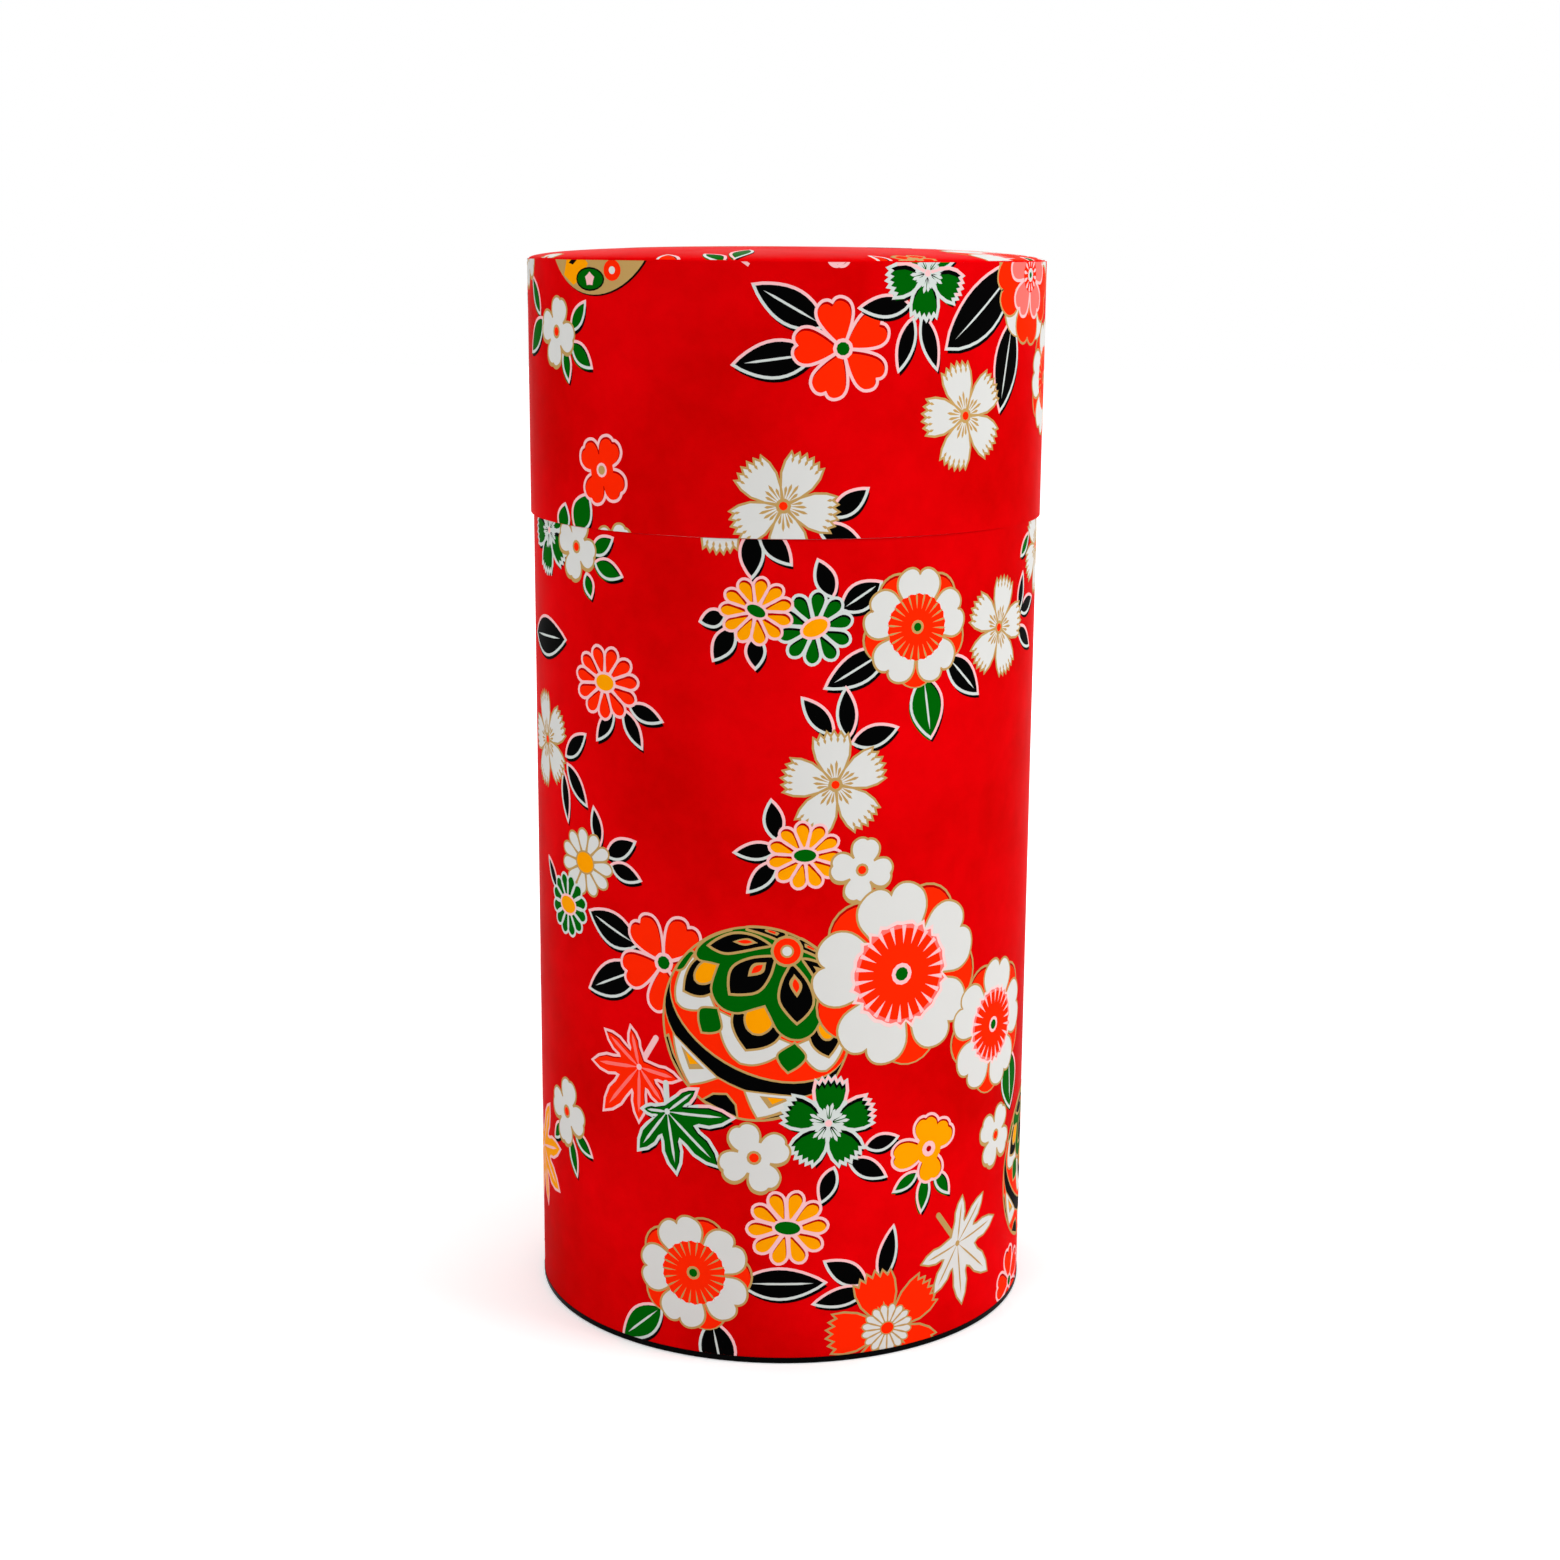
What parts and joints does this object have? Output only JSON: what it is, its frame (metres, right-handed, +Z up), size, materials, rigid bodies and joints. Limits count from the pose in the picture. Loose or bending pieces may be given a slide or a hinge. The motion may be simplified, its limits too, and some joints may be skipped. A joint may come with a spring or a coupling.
{
  "type": "tea caddy",
  "caption": "Cylindrical tea caddy of tinplate covered in patterned paper, with a slip-over domed lid and a plug-in inner lid with a knob.",
  "frame": {"origin": "centre of the foot ring, on the surface the caddy stands on", "axes": "+Z up along the can's axis; the front faces -Y and the joins of the paper are at +Y"},
  "size_m": [0.0798, 0.0801, 0.167],
  "materials": {
    "tinplate": "bright rolled tinplate",
    "black_tin": "satin black lacquer",
    "body_print": "red printed paper, satin",
    "lid_print": "red printed paper, satin",
    "knob_black": "moulded, polished"
  },
  "bodies": {
    "can": {"body_shell": "tinplate", "base_plate": "black_tin", "body_paper": "body_print"},
    "inner_lid": {"inner_lid_pan": "tinplate", "inner_lid_knob": "knob_black", "knob_rivet": "tinplate"},
    "outer_lid": {"lid_skirt": "tinplate", "lid_crown": "tinplate", "lid_side_paper": "lid_print", "lid_top_paper": "lid_print"}
  },
  "joints": [
    {"name": "inner_lid_lift", "type": "slide", "parent": "can", "child": "inner_lid", "axis": [0, 0, 1], "range_m": [0, 0.04]},
    {"name": "outer_lid_lift", "type": "slide", "parent": "inner_lid", "child": "outer_lid", "axis": [0, 0, 1], "range_m": [0, 0.08]}
  ]
}
